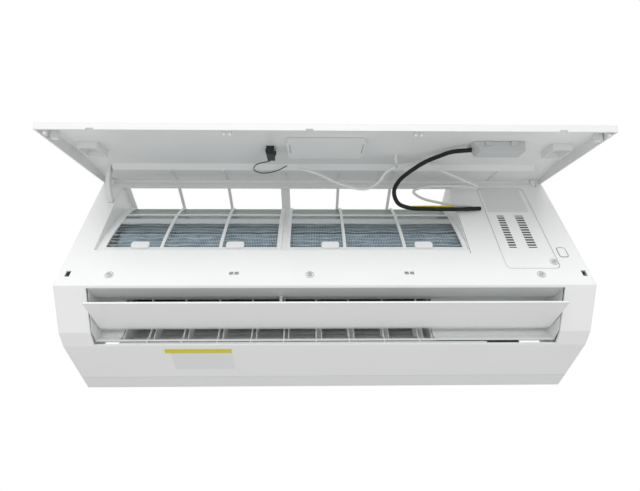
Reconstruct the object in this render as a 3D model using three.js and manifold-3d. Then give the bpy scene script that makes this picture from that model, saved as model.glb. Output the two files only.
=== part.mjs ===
// Mini split indoor unit, hung on a wall, with its front panel swung open.
// Millimetres. +X to the right as seen from the room, -Y out into the room, +Z up.
// The origin is the middle of the wall side of the mounting plate.
import * as THREE from 'three';
import { mergeVertices } from 'three/addons/utils/BufferGeometryUtils.js';
import Module from 'manifold-3d';

const wasm = await Module();
wasm.setup();

// ------------------------------ driving sizes

// casing
const caseWidth = 802;
const caseHeight = 297;
const deckDepth = 203;
const shell = 2.6;
const baseDepth = 32;
const footRise = 56.5;
const cheekRise = 15.2;
const cheekSetBack = 60.7;
const sillRise = 7.5;
const sillSetBack = 86.2;
const heelRise = 0.6;
const seat = 0.3;
const play = 0.8;
const cornerRadius = 4;

// ends, top, bottom and deck of the casing, from which the sizes below are counted
const half = caseWidth / 2;
const top = caseHeight / 2;
const bottom = -top;
const front = -deckDepth;

// openings in the front frame
const bayLeft = 44 - half;
const bayRight = half - 175;
const bayFloor = top - 169;
const railHeight = 14;
const splitAt = -69;
const splitGap = 7;
const topBars = [-267, -176, 25, 121.5];
const topBarWidth = 5;
const topPostWidth = 16;
const topIntakeFront = 197;
const topIntakeBack = 42;
const mouthWidth = caseWidth - 93;
const mouthInset = 4;

// fasteners and catches in the deck
const deckScrews = [75 - half, -27, half - 76];
const deckScrewDrop = caseHeight - 77;
const windowsAt = [-141, 124];
const windowDrop = 217;
const windowSide = 6;
const windowBar = 2;
const catchesAt = [13 - half, half - 9];
const catchDrop = 217.5;
const catchWide = 7;
const catchTall = 11;
const catchReach = 5;

// electrical cover beside the filters
const coverLeft = half - 124;
const coverRight = half - 41;
const coverBottom = top - 207.5;
const coverTop = top - 16.5;
const coverThick = 2.3;
const coverRadius = 8;
const coverLedge = 6;
const coverScrewX = half - 47;
const coverScrewZ = top - 194.5;

// manual button
const buttonX = half - 26.5;
const buttonZ = top - 174.5;
const buttonWide = 12.5;
const buttonTall = 18.5;
const buttonProud = 0.5;
const buttonTravel = 1.5;
const buttonFlange = 1.2;

// front panel
const panelLength = 224;
const panelEdge = 10;
const panelBulge = 20;
const panelWall = 2.5;
const panelGap = 0.5;
const panelOpen = 57.6;
const hingeX = half - 16;
const hingeWide = 8;
const pinRadius = 2;
const armX = half - 28.5;
const armWide = 7;
const armInner = 44;
const armOuter = 52;
const armBack = 73;
const flangeLength = 56;
const flangeRise = 6;

// filters
const filterFrame = 2.4;
const filterRim = 7;
const filterNet = 0.6;
const filterRibs = [-262, -169, 29, 125];
const filterRibWidth = 5;
const tabsAt = [-295, -145.5, 5.5, 155];
const tabWide = 28;
const tabTall = 9;

// heat exchanger
const coilThick = 24;
const coilLeft = 57 - half;
const coilRight = half - 173;
const endPlate = 1.2;
const bendRadius = 10;
const tubeRadius = 3.5;

// fan
const fanY = front + 105;
const fanZ = bottom + 118.5;
const fanRadius = 44;
const fanLeft = -310;
const fanRight = 148;
const fanBlades = 14;
const fanDiscs = 4;
const fanShaft = 4;
const motorRadius = 38;
const motorLength = 62;

// air outlet
const ductLeft = -316;
const ductRight = 165;
const ductWall = 2.4;
const guardBars = [-277, -224, -170, -118, -67.5, -17, 34, 88.6, 143];
const guardThick = 2;
const leftVanes = 5;
const vaneY = front + 97;
const vaneOffset = 7;
const vaneThick = 1.4;
const vaneRestLeft = 0;
const vaneRestRight = 20;
const vaneArm = 10;
const pegRadius = 1;
const linkWide = 7;
const linkThick = 1.6;

// louvre
const louvreY = front + 41.5;
const louvreZ = bottom + 43.5;
const louvreChord = 80;
const louvreThick = 3;
const louvreRest = 38;
const louvreSide = 1.5;
const louvrePin = 2;
const louvreMid = -71;
const earThick = 3;

// wall plate and pipes
const plateWidth = caseWidth - 82;
const plateHeight = 236;
const plateThick = 1.2;
const gasPipe = 9.5;
const liquidPipe = 6.4;
const lagging = 6;

// derived lines of the casing
const foot = [front, bottom + footRise];
const cheek = [front + cheekSetBack, bottom + cheekRise];
const sill = [front + sillSetBack, bottom + sillRise];
const deckBack = front + shell;
const hingeY = front + cornerRadius;
const hingeZ = top - cornerRadius;

// ------------------------------ helpers

const unit = new THREE.Group();
const closeTo = 0.002;

// A closed geometry as a solid that can be cut and joined.
function toSolid(geometry) {
  const bare = geometry.clone();
  bare.deleteAttribute('normal');
  bare.deleteAttribute('uv');
  const merged = mergeVertices(bare, 1e-4);
  return new wasm.Manifold(new wasm.Mesh({
    numProp: 3,
    vertProperties: new Float32Array(merged.attributes.position.array),
    triVerts: new Uint32Array(merged.index.array),
  }));
}

function toGeometry(solid) {
  const mesh = solid.getMesh();
  const geometry = new THREE.BufferGeometry();
  geometry.setAttribute('position', new THREE.BufferAttribute(new Float32Array(mesh.vertProperties), 3));
  geometry.setIndex(new THREE.BufferAttribute(new Uint32Array(mesh.triVerts), 1));
  geometry.computeVertexNormals();
  return geometry;
}

function add(name, solid, colour, roughness, metalness = 0) {
  const material = new THREE.MeshStandardMaterial({ color: colour, roughness, metalness });
  const mesh = new THREE.Mesh(toGeometry(solid.simplify(closeTo)), material);
  mesh.name = name;
  unit.add(mesh);
}

function join(solids) {
  return solids.reduce((whole, next) => whole.add(next));
}

function box(x0, x1, y0, y1, z0, z1) {
  const geometry = new THREE.BoxGeometry(x1 - x0, y1 - y0, z1 - z0);
  geometry.translate((x0 + x1) / 2, (y0 + y1) / 2, (z0 + z1) / 2);
  return toSolid(geometry);
}

const axis = (x, y, z) => new THREE.Vector3(x, y, z);

function extrude(outline, length, across, up, along) {
  const shape = outline instanceof THREE.Shape ? outline
    : new THREE.Shape(outline.map(([u, v]) => new THREE.Vector2(u, v)));
  const geometry = new THREE.ExtrudeGeometry(shape, { depth: length, bevelEnabled: false,
    curveSegments: 4 });
  geometry.applyMatrix4(new THREE.Matrix4().makeBasis(across, up, along));
  return toSolid(geometry);
}

// An outline of (y, z) points drawn out along X.
function alongX(outline, x0, x1) {
  return extrude(outline, x1 - x0, axis(0, 1, 0), axis(0, 0, 1), axis(1, 0, 0)).translate([x0, 0, 0]);
}

// An outline of (x, z) points drawn out along Y.
function alongY(outline, y0, y1) {
  return extrude(outline, y1 - y0, axis(1, 0, 0), axis(0, 0, 1), axis(0, -1, 0)).translate([0, y1, 0]);
}

// An outline of (x, y) points drawn out along Z.
function alongZ(outline, z0, z1) {
  return extrude(outline, z1 - z0, axis(1, 0, 0), axis(0, 1, 0), axis(0, 0, 1)).translate([0, 0, z0]);
}

function ring(radius, sides, u = 0, v = 0) {
  return Array.from({ length: sides }, (_, i) => {
    const turn = (2 * Math.PI * i) / sides;
    return [u + radius * Math.cos(turn), v + radius * Math.sin(turn)];
  });
}

function rounded(u0, u1, v0, v1, radius) {
  const r = Math.min(radius, (u1 - u0) / 2.01, (v1 - v0) / 2.01);
  const shape = new THREE.Shape();
  shape.moveTo(u0 + r, v0);
  shape.lineTo(u1 - r, v0);
  shape.absarc(u1 - r, v0 + r, r, -Math.PI / 2, 0, false);
  shape.lineTo(u1, v1 - r);
  shape.absarc(u1 - r, v1 - r, r, 0, Math.PI / 2, false);
  shape.lineTo(u0 + r, v1);
  shape.absarc(u0 + r, v1 - r, r, Math.PI / 2, Math.PI, false);
  shape.lineTo(u0, v0 + r);
  shape.absarc(u0 + r, v0 + r, r, Math.PI, 1.5 * Math.PI, false);
  return shape;
}

// The line through open points, moved sideways by d (to the left of its direction).
function shifted(points, d) {
  const normal = (a, b) => {
    const length = Math.hypot(b[0] - a[0], b[1] - a[1]);
    return [-(b[1] - a[1]) / length, (b[0] - a[0]) / length];
  };
  return points.map((point, i) => {
    const before = i > 0 ? normal(points[i - 1], point) : null;
    const after = i < points.length - 1 ? normal(point, points[i + 1]) : null;
    if (!before || !after) {
      const n = before || after;
      return [point[0] + n[0] * d, point[1] + n[1] * d];
    }
    const scale = d / (1 + before[0] * after[0] + before[1] * after[1]);
    return [point[0] + (before[0] + after[0]) * scale, point[1] + (before[1] + after[1]) * scale];
  });
}

// A strip of even thickness on one side of a line.
function strip(points, thickness) {
  return [...points, ...shifted(points, thickness).reverse()];
}

// A closed convex outline, moved inward (it runs anticlockwise).
function inset(points, d) {
  const count = points.length;
  const looped = [points[count - 1], ...points, points[0]];
  return shifted(looped, d).slice(1, count + 1);
}

// The point on a line of points at a given second coordinate.
function crossing(points, v) {
  for (let i = 1; i < points.length; i += 1) {
    const [a, b] = [points[i - 1], points[i]];
    if ((a[1] - v) * (b[1] - v) <= 0 && a[1] !== b[1]) {
      return [a[0] + ((b[0] - a[0]) * (v - a[1])) / (b[1] - a[1]), v];
    }
  }
  return points[points.length - 1];
}

function tube(points, radius, steps, sides = 8) {
  const path = new THREE.CatmullRomCurve3(points.map(([x, y, z]) => axis(x, y, z)), false, 'centripetal');
  const shape = new THREE.Shape(ring(radius, sides).map(([u, v]) => new THREE.Vector2(u, v)));
  return toSolid(new THREE.ExtrudeGeometry(shape, { steps, extrudePath: path, bevelEnabled: false }));
}

// Swings a solid of the front panel about its hinge from shut to its place at rest.
function openPanel(solid, angle = panelOpen) {
  return solid.translate([0, -hingeY, -hingeZ]).rotate([-angle, 0, 0]).translate([0, hingeY, hingeZ]);
}

// Swings a solid of the louvre about its pins.
function swingLouvre(solid, angle = louvreRest) {
  return solid.translate([0, -louvreY, -louvreZ]).rotate([angle, 0, 0]).translate([0, louvreY, louvreZ]);
}

// ------------------------------ lines shared by several pieces

const white = 0xf2f3f3;
const inner = 0xe4e6e6;
const steel = 0xb9bdbf;

// casing outline seen from its left end, anticlockwise in (y, z)
const outline = [
  [0, bottom],
  [0, top],
  [hingeY, top],
  [hingeY - cornerRadius * Math.SQRT1_2, top - cornerRadius * (1 - Math.SQRT1_2)],
  [front, hingeZ],
  foot,
  cheek,
  sill,
  [-heelRise * 10, bottom],
];

// fan housing: the inner face of the scroll, from its top behind the fan to the sill
const scroll = [
  [fanY + 36, fanZ + 35],
  [fanY + 48, fanZ + 18],
  [fanY + 53, fanZ - 5],
  [fanY + 50, fanZ - 30],
  [fanY + 38, fanZ - 54],
  [fanY + 16, fanZ - 76],
  [fanY - 6, fanZ - 93],
  [sill[0] - 4, sill[1] + 3.5],
];

// upper wall of the outlet, from the tongue by the fan to the foot of the deck
const upperWall = [
  [fanY - 41, fanZ - 27],
  [fanY - 45, fanZ - 42],
  [front + 33, foot[1] + 5],
  [deckBack + 4, foot[1] + 0.5],
];

// back of the mouth, clear of the louvre's swing
const guardLine = [
  upperWall[1],
  [vaneY - 11, fanZ - 49.5],
  [vaneY - 5.4, louvreZ + 5],
  [vaneY - 7.4, louvreZ - 17],
  [sill[0] - 4.2, sill[1] + 8.5],
];

// outer face of the filters, from the deck up and back over the coils
const filterLine = [
  [front + 1.5, bayFloor + seat],
  [front + 3.4, bayFloor + 22],
  [front + 8.4, bayFloor + 48],
  [front + 15.2, bayFloor + 75],
  [front + 23, bayFloor + 103],
  [front + 32.5, top - 42.5],
  [front + 45.6, top - 18],
  [front + 60, top - 14.2],
  [-58, top - 13.5],
];

// ------------------------------ front frame

const innerFace = inset(outline, shell + seat);
const filterInner = shifted(filterLine, -filterFrame - seat);
const railLine = [[filterInner[0][0], bayFloor - 1], ...filterInner.slice(1), [-topIntakeBack - 1,
  top - 17]];
const mouthSide = mouthWidth / 2;
const slope = Math.hypot(cheek[0] - foot[0], cheek[1] - foot[1]);
const slopeDir = [(cheek[0] - foot[0]) / slope, (cheek[1] - foot[1]) / slope];
const slopeIn = [-slopeDir[1], slopeDir[0]];
const onSlope = (along, into = 0) => [
  foot[0] + slopeDir[0] * along + slopeIn[0] * into,
  foot[1] + slopeDir[1] * along + slopeIn[1] * into,
];
const lipSpan = Math.hypot(sill[0] - cheek[0], sill[1] - cheek[1]);
const lipDir = [(sill[0] - cheek[0]) / lipSpan, (sill[1] - cheek[1]) / lipSpan];
const deckScrewZ = top - deckScrewDrop;

function shellOf(y0, y1) {
  const outer = alongX(outline, -half, half);
  const hollowLine = inset(outline, shell).map(([y, z], i) => (i < 2 ? [1, z] : [y, z]));
  const hollow = alongX(hollowLine, shell - half, half - shell);
  return outer.subtract(hollow).intersect(box(-half - 1, half + 1, y0, y1, bottom - 1, top + 1));
}

function buildFrontFrame() {
  let frame = shellOf(front - 1, -baseDepth);
  const cuts = [];
  // filter bay in the deck, and the intake windows above it
  cuts.push(box(bayLeft - shell * 3, bayRight, front - 1, deckBack + 1, bayFloor, top - railHeight));
  const edges = [bayLeft, ...topBars.slice(0, 2), splitAt - splitGap / 2, ...topBars.slice(2), bayRight];
  edges.slice(1).forEach((edge, i) => {
    const widths = edges.map((_, k) => (k === 3 ? topPostWidth : topBarWidth) / 2);
    const x0 = edges[i] + (i === 0 ? 0 : widths[i]);
    const x1 = edge - (i === edges.length - 2 ? 0 : widths[i + 1]);
    cuts.push(box(x0, x1, -topIntakeFront, -topIntakeBack, top - shell - 1, top + 1));
  });
  // mouth of the outlet
  const mouth = [onSlope(mouthInset), cheek, [sill[0] - lipDir[0] * 2.5, sill[1] - lipDir[1] * 2.5]];
  cuts.push(alongX(strip(shifted(mouth, -6), 14), -mouthSide, mouthSide));
  // clip windows, corner catches and arm slots
  windowsAt.forEach((x) => {
    [-1, 1].forEach((side) => {
      const middle = x + (side * (windowSide + windowBar)) / 2;
      cuts.push(box(middle - windowSide / 2, middle + windowSide / 2, front - 1, deckBack + 1,
        top - windowDrop - windowSide / 2, top - windowDrop + windowSide / 2));
    });
  });
  catchesAt.forEach((x) => {
    cuts.push(box(x - catchWide / 2, x + catchWide / 2, front - 1, deckBack + 1,
      top - catchDrop - catchTall / 2, top - catchDrop + catchTall / 2));
  });
  [-1].forEach((side) => {
    const x = side * armX;
    const reach = armWide / 2 + play;
    cuts.push(box(x - reach, x + reach, front - 1, deckBack + 1,
      hingeZ - armOuter - play, hingeZ - armInner + play));
  });
  // electrical cover and manual button
  cuts.push(alongY(rounded(coverLeft - seat, coverRight + seat, coverBottom - seat, coverTop + seat,
    coverRadius), front - 1, deckBack + 1));
  cuts.push(alongY(rounded(buttonX - buttonWide / 2 - seat, buttonX + buttonWide / 2 + seat,
    buttonZ - buttonTall / 2 - seat, buttonZ + buttonTall / 2 + seat, 3), front - 1, deckBack + 1));
  frame = frame.subtract(join(cuts));
  const parts = [frame];
  // ledge under the electrical cover, with the boss of its screw
  const ledge = alongY(rounded(coverLeft - coverLedge, coverRight + coverLedge, coverBottom - coverLedge,
    coverTop + coverLedge, coverRadius), deckBack - 0.1, deckBack + 2)
    .subtract(alongY(rounded(coverLeft - 1, coverRight + 1, coverBottom - 1, coverTop + 1, coverRadius),
      deckBack - 1, deckBack));
  parts.push(ledge.subtract(box(coverLeft + coverLedge, coverRight - coverLedge,
    front, deckBack + 3, coverBottom + coverLedge, coverTop - coverLedge)));
  parts.push(alongY(ring(5.5, 12, coverScrewX, coverScrewZ), deckBack, deckBack + 9));
  parts.push(box(coverScrewX, coverRight - coverLedge + 1, deckBack, deckBack + 2,
    coverScrewZ - 5, coverScrewZ + 5));
  // shelf, side cheeks and rails that carry the filters
  const bayEdge = bayLeft - shell * 3;
  parts.push(box(bayEdge - shell, bayRight + shell, front, front + 12, bayFloor - 2.2, bayFloor));
  const cheekWall = [[front + 0.3, bayFloor - 2.2], ...shifted(railLine, -1), [-topIntakeBack - 1, top - 0.5], [hingeY,
    top - 0.5],
    [front + 0.3, hingeZ]];
  [[bayEdge - shell, bayEdge], [bayRight, bayRight + shell]].forEach(([x0, x1]) => {
    parts.push(alongX(cheekWall, x0, x1));
  });
  const rail = strip(railLine, -shell);
  [[bayEdge - shell, bayLeft + 5], [splitAt - splitGap, splitAt + splitGap], [bayRight - 5,
    bayRight + shell]]
    .forEach(([x0, x1]) => parts.push(alongX(rail, x0, x1)));
  parts.push(box(bayEdge, bayRight, -topIntakeBack - 1, -topIntakeBack + shell, top - 21, top - 0.5));
  // hinge pins in their notches
  [-1, 1].forEach((side) => {
    const x = side * hingeX;
    const reach = hingeWide / 2 + seat;
    const notch = box(x - reach, x + reach, front - 1, hingeY + 6, hingeZ - 6, top + 1);
    const bracket = box(x - reach - shell, x + reach + shell, deckBack - 1, hingeY + 8, hingeZ - 8.6,
      top - 1);
    const cheeked = parts.splice(0).reduce((whole, next) => whole.add(next)).add(bracket).subtract(notch);
    parts.push(cheeked);
    parts.push(alongX(ring(pinRadius, 12, hingeY, hingeZ), x - reach - 1, x + reach + 1));
  });
  const screwHoles = deckScrews.map((x) => alongY(ring(2, 10, x, deckScrewZ), front - 1, deckBack + 1));
  screwHoles.push(alongY(ring(1.6, 10, coverScrewX, coverScrewZ), front - 1, deckBack + 8));
  return join(parts).subtract(join(screwHoles));
}

add('front_frame', buildFrontFrame(), white, 0.42);

// ------------------------------ rear base with the fan scroll

const wallZone = plateThick + seat;
const backWall = [-wallZone - shell, -wallZone];
const bayEnd = ductRight + 80;
const hookX = 200;
const hookZ = 104;
const pipeHole = 20;
const pipeY = -26;
const pipeZ = bottom + 37;
const floorAt = (y) => crossing(scroll.map(([a, b]) => [b, a]), y)[0];

function buildRearBase() {
  const rim = shellOf(-baseDepth + seat, 1);
  const wall = box(-half + 1, half - 1, ...backWall, bottom + 87, top - 1);
  const inside = alongX(innerFace, -half + 2, half - 2);
  const insideRim = alongX(inset(outline, shell / 2), -half + 2, half - 2)
    .intersect(box(-half, half, -baseDepth + seat, 1, bottom - 1, top + 1));
  const trough = fanZ + 35;
  const bulkhead = [
    [backWall[1] - 0.5, trough],
    ...scroll.slice(0, 7),
    [guardLine[3][0] + 1.5, floorAt(guardLine[3][0] + 1.5)],
    [guardLine[3][0] + 3, guardLine[3][1]],
    [guardLine[2][0] + 3, guardLine[2][1]],
    [guardLine[1][0] + 3.5, guardLine[1][1] + 1],
    [upperWall[0][0] + 4, upperWall[0][1]],
    [upperWall[0][0] + 4, trough + 4],
    [backWall[1] - 0.5, trough + 4],
  ];
  const lower = [...scroll, [sill[0] - 4, bottom], [backWall[1] - 0.5, bottom], [backWall[1] - 0.5,
    trough]];
  const plates = [];
  [[ductLeft - ductWall, ductLeft], [ductRight, ductRight + ductWall], [bayEnd, bayEnd + ductWall]]
    .forEach(([x0, x1]) => {
      plates.push(alongX(bulkhead, x0, x1));
      plates.push(alongX(lower, x0, x1));
    });
  const strips = [
    alongX(strip(scroll, ductWall), ductLeft - ductWall, bayEnd + ductWall),
    box(ductLeft - ductWall, bayEnd + ductWall, scroll[0][0], backWall[1] - 0.5, trough - 1, trough + 1.5),
    box(ductLeft - ductWall, bayEnd + ductWall, scroll[0][0] - 1, scroll[0][0] + 1.4, trough - 1,
      trough + 12),
  ];
  const cradleBlock = [[fanY + 30, fanZ - 6], [fanY - 30, fanZ - 6], [fanY - 30, fanZ - 40],
    [guardLine[1][0] + 7, guardLine[1][1] + 1], [guardLine[2][0] + 5, guardLine[2][1]],
    [guardLine[3][0] + 5, floorAt(guardLine[3][0] + 5)], ...scroll.slice(3, 7).reverse(),
    [fanY + 47, fanZ - 30]];
  const ribs = [14, 46].map((x) => alongX(cradleBlock, ductRight + x, ductRight + x + 3));
  const bored = join([...plates, ...strips, ...ribs])
    .subtract(alongX(ring(motorRadius + seat, 24, fanY, fanZ), ductRight + ductWall + 1, bayEnd - 1))
    .subtract(alongX(ring(12, 16, fanY, fanZ), ductLeft - 5, ductRight + 5))
    .subtract(alongX(ring(pipeHole, 16, pipeY, pipeZ), ductLeft - 5, bayEnd + 5));
  const within = bored.intersect(inside).add(bored.intersect(insideRim));
  const hooks = [-1, 1].map((side) => box(side * hookX - 18, side * hookX + 18, -8, 0,
    hookZ - 7, hookZ + plateThick + seat));
  return join([rim, wall, within]).subtract(join(hooks));
}

add('rear_base', buildRearBase(), inner, 0.5);

function buildPlate() {
  const sheet = box(-plateWidth / 2, plateWidth / 2, -plateThick, 0, -plateHeight / 2, plateHeight / 2);
  const holes = [];
  [-300, -150, 150, 300].forEach((x) => {
    [-70, 70].forEach((z) => holes.push(box(x - 14, x + 14, -plateThick - 1, 1, z - 4, z + 4)));
  });
  const tabs = [-1, 1].map((side) => {
    const x = side * hookX;
    return box(x - 15, x + 15, -8, -0.1, hookZ, hookZ + plateThick)
      .add(box(x - 15, x + 15, -8, -8 + plateThick, hookZ, hookZ + 9));
  });
  return sheet.subtract(join(holes)).add(join(tabs));
}

add('mounting_plate', buildPlate(), steel, 0.4, 0.8);

// ------------------------------ outlet frame, drain tray and screws

const recessEnd = mouthSide - louvreSide;
const guardThickness = 4;
const vaneTop = fanZ - fanRadius - 8.2;
const socket = louvrePin + 0.35;

function buildOutletFrame() {
  const side = mouthSide - seat;
  const parts = [alongX(strip(upperWall, -ductWall), -side, side)];
  const guard = [[upperWall[1][0] - 0.8, upperWall[1][1] + 1.2], ...guardLine.slice(1)];
  [[-side, ductLeft - ductWall - seat], [ductRight + ductWall + seat, side]].forEach(([x0, x1]) => {
    parts.push(alongX(strip(guard, 2.2), x0, x1));
  });
  guardBars.forEach((x) => {
    parts.push(alongX(strip(guard, guardThickness), x - guardThick / 2, x + guardThick / 2));
  });
  const across = [ductLeft - ductWall - 1, ductRight + ductWall + 1];
  parts.push(alongX(strip(guard.slice(3).map(([y, z], i) => (i ? [y, z] : [y - 3, z - 6])), 2),
    ...across));
  parts.push(box(ductLeft + seat, ductRight - seat, vaneY - 12.5, vaneY + 4, vaneTop + seat,
    vaneTop + seat + 2.4));
  const roof = shifted(upperWall, -1);
  const end = [roof[3], innerFace[6], ...shifted(guard, 1).reverse(), roof[2]];
  parts.push(alongX(end, -side, -recessEnd));
  parts.push(alongX(end, recessEnd, side));
  const hanger = [[louvreY - 9, upperWall[2][1] + 1], [louvreY + 9, upperWall[1][1] - 3],
    [louvreY + 5, louvreZ - 4.5], [louvreY - 5, louvreZ - 4.5]];
  parts.push(alongX(hanger, louvreMid - 2, louvreMid + 2));
  const holes = [alongX(ring(socket, 12, louvreY, louvreZ), -half, half)];
  guardBars.forEach((x) => {
    holes.push(alongZ(ring(1.9, 8, x + vaneOffset, vaneY), vaneTop - 1, vaneTop + 4));
  });
  return join(parts).subtract(join(holes));
}

add('outlet_frame', buildOutletFrame(), 0xeceeee, 0.5);

function buildDrainTray() {
  const floor = shifted(upperWall, -(ductWall + seat));
  const rim = foot[1] + 31;
  const trayLine = [[deckBack + 2, rim], [deckBack + 2, floor[3][1] + 0.4], [floor[2][0],
    floor[2][1] + 0.4],
    [floor[1][0] - 0.4, floor[1][1]], [floor[1][0] - 1.5, rim + 4]];
  const reach = mouthSide - 4;
  const parts = [alongX(strip(trayLine, 2), -reach, reach)];
  const endCap = [...trayLine];
  [[-reach, 2 - reach], [reach - 2, reach]].forEach(([x0, x1]) => parts.push(alongX(endCap, x0, x1)));
  deckScrews.forEach((x) => {
    parts.push(alongY(ring(4.5, 10, x, deckScrewZ), deckBack + seat, deckBack + 12));
  });
  const bores = deckScrews.map((x) => alongY(ring(1.8, 10, x, deckScrewZ), deckBack, deckBack + 10));
  return join(parts).subtract(join(bores));
}

add('drain_tray', buildDrainTray(), 0xdfe2e2, 0.6);

// A pan head screw driven along +Y, with a cross recess.
function screw(x, y, z, head, length) {
  const headThick = 1.8;
  const cap = alongY(ring(head, 12, x, z), y - headThick - seat, y - seat);
  const shank = alongY(ring(1.4, 8, x, z), y - seat - 0.2, y + length);
  const arm = head * 0.55;
  const recess = box(x - arm, x + arm, y - headThick - 1, y - headThick + 0.6, z - 0.5, z + 0.5)
    .add(box(x - 0.5, x + 0.5, y - headThick - 1, y - headThick + 0.6, z - arm, z + arm));
  return cap.add(shank).subtract(recess);
}

deckScrews.forEach((x, i) => {
  add(`deck_screw_${i + 1}`, screw(x, front, deckScrewZ, 3.8, 11), steel, 0.35, 0.85);
});

// ------------------------------ heat exchanger

const coilFront = front + 21;
const coilFoot = foot[1] + 24;
const coilKnee = coilFoot + 104;
const upperTurn = [0.473, 0.881];
const kneeIn = [coilFront + coilThick + seat, coilKnee + seat];
const upperStart = [kneeIn[0] - coilThick * upperTurn[1], kneeIn[1] + coilThick * upperTurn[0]];
const upperEnd = [upperStart[0] + 75 * upperTurn[0], upperStart[1] + 75 * upperTurn[1]];
const rearTop = [-103, top - 27.5];
const rearFoot = [rearTop[0] + 53.5, rearTop[1] - 66];
const blocks = {
  lower: strip([[coilFront, coilFoot], [coilFront, coilKnee]], -coilThick),
  upper: strip([upperStart, upperEnd], -coilThick),
  rear: strip([rearTop, rearFoot], -coilThick),
};
const blockNames = Object.keys(blocks);

blockNames.forEach((name) => {
  add(`coil_${name}`, alongX(blocks[name], coilLeft, coilRight), 0x7fa3b5, 0.5, 0.3);
});

// One sheet end plate that follows the three blocks, with the return bends on its outer side.
function buildEndPlate(x0, outward) {
  const x1 = x0 + outward * endPlate;
  const [lo, hi] = [Math.min(x0, x1), Math.max(x0, x1)];
  const middle = (points) => [0, 1].map((k) => points.reduce((sum, p) => sum + p[k], 0) / points.length);
  const plates = blockNames.map((name) => alongX(blocks[name], lo, hi));
  const link = [kneeIn, [coilFront, coilKnee - 4], upperStart, [kneeIn[0] + 3, kneeIn[1] + 6]];
  plates.push(alongX(link, lo, hi));
  const below = [upperEnd[0] - 6 * upperTurn[0], upperEnd[1] - 6 * upperTurn[1]];
  plates.push(alongX([below, [below[0] + 20, below[1] - 10], [rearTop[0] - 8, rearTop[1] - 20],
    rearTop], lo, hi));
  // lug and foot on the back wall of the rear base
  const lugEnd = backWall[0] - seat;
  plates.push(box(lo, hi, rearFoot[0] - 22, lugEnd, rearFoot[1] + 7, rearFoot[1] + 21));
  plates.push(box(Math.min(x0, x0 + outward * 8), Math.max(x0, x0 + outward * 8), lugEnd - endPlate, lugEnd,
    rearFoot[1] + 7, rearFoot[1] + 21));
  const bends = [];
  blockNames.forEach((name) => {
    const points = blocks[name];
    const places = name === 'rear' && outward > 0 ? [-0.7] : [-0.8, 0.8];
    const centre = middle(points);
    const run = [(points[1][0] - points[0][0]) / 3, (points[1][1] - points[0][1]) / 3];
    places.forEach((k) => {
      const c = [centre[0] + run[0] * k, centre[1] + run[1] * k];
      const size = Math.hypot(...run);
      const d = [(run[0] / size) * bendRadius, (run[1] / size) * bendRadius];
      const loop = [[-0.5, -1], [7, -1], [14, -0.55], [14, 0.55], [7, 1], [-0.5, 1]]
        .map(([out, s]) => [x1 + outward * out, c[0] + d[0] * s, c[1] + d[1] * s]);
      bends.push(tube(loop, tubeRadius, 6, 5));
    });
  });
  return join([...plates, ...bends]);
}

add('end_plate_left', buildEndPlate(coilLeft - seat, -1), steel, 0.45, 0.7);
add('end_plate_right', buildEndPlate(coilRight + seat, 1), steel, 0.45, 0.7);

// ------------------------------ pipes behind the fan scroll

const pipeStart = coilRight + endPlate + seat * 2;
const gasZ = pipeZ + 8;
const liquidZ = pipeZ - 9.5;
const gasEnd = -210;
const liquidEnd = -170;
const turnX = bayEnd + ductWall + 15;

function buildPipe(y, z, size, x, end, from) {
  const [fromY, fromZ] = from;
  const route = [[pipeStart, fromY, fromZ], [x - 12, fromY, fromZ], [x - 1, fromY + 3, fromZ - 10],
    [x, (fromY + y) / 2, (fromZ + z) / 2], [x, y, z + 20], [x - 4, y, z + 5], [x - 15, y, z], [0, y, z],
    [end, y, z]];
  return tube(route, (size + lagging) / 2, 36, 10).add(tube([[end + 2, y, z], [end - 36, y, z]],
    size / 2, 2, 10));
}

add('gas_pipe', buildPipe(pipeY, gasZ, gasPipe, turnX, gasEnd, [rearFoot[0] - 13.5, rearFoot[1] - 2.5]),
  0xd8d9d6, 0.8);
add('liquid_pipe', buildPipe(pipeY, liquidZ, liquidPipe, turnX + 16, liquidEnd,
  [rearFoot[0] - 24.5, rearFoot[1] + 9]), 0xd8d9d6, 0.8);

function buildNut(z, end, bore) {
  return alongX(ring(bore, 6, pipeY, z), end - 30, end - 12)
    .subtract(alongX(ring(bore / 2 + seat, 10, pipeY, z), end - 40, end));
}

add('gas_nut', buildNut(gasZ, gasEnd, gasPipe), 0xc9a24e, 0.35, 0.9);
add('liquid_nut', buildNut(liquidZ, liquidEnd, liquidPipe), 0xc9a24e, 0.35, 0.9);

// Ribbed drain hose lying on the bottom of the casing.
const hoseRadius = 8;
const hoseRibs = 12;
const hoseLength = 240;

function buildHose() {
  const pitch = hoseLength / hoseRibs;
  const outer = Array.from({ length: hoseRibs * 2 + 1 }, (_, i) => [
    i % 2 ? hoseRadius : hoseRadius - 1.6, (i * pitch) / 2]);
  const profile = [[hoseRadius - 3, 0], ...outer, [hoseRadius - 3, hoseLength], [hoseRadius - 3, 0]]
    .map(([r, along]) => new THREE.Vector2(r, along));
  const geometry = new THREE.LatheGeometry(profile, 10);
  geometry.rotateZ(-Math.PI / 2);
  return toSolid(geometry);
}

const hoseY = pipeY - 19;
const hoseZ = crossing([[sill[1], sill[0]], [bottom, -heelRise * 10]],
  hoseY)[0] + shell + hoseRadius + seat;
add('drain_hose', buildHose().translate([-120, hoseY, hoseZ]), 0xe9ebeb, 0.6);

// ------------------------------ fan, bearing, motor

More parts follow.
